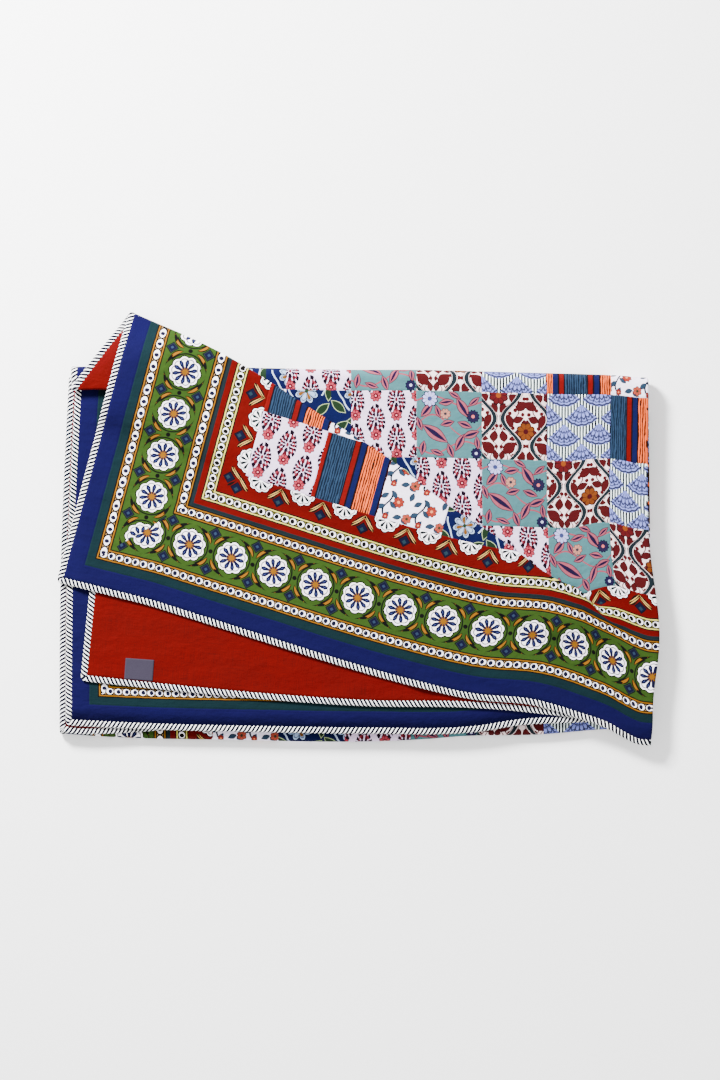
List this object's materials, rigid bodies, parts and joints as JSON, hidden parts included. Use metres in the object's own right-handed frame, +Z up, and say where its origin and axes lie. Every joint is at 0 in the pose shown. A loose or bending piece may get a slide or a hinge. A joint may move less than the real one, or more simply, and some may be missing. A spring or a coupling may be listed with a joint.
{
  "type": "patchwork quilt",
  "caption": "Folded patchwork quilt with a printed patch top, bordered edge, plain red lining and striped corded piping, laid flat with one layer drawn back.",
  "frame": {"origin": "centre of the bounding box in X and Y, on the surface the quilt lies on", "axes": "+X along the long side of the folded quilt, +Y away from its near edge, +Z up through the layers"},
  "size_m": [1.1429, 0.8272, 0.0539],
  "materials": {
    "printed_top": "matt printed cotton",
    "red_lining": "matt plain cotton",
    "striped_piping": "matt striped cotton",
    "blank_label": "matt woven tape"
  },
  "bodies": {
    "root": {"printed_top": "printed_top", "red_lining": "red_lining", "striped_piping": "striped_piping", "blank_label": "blank_label"}
  },
  "joints": []
}
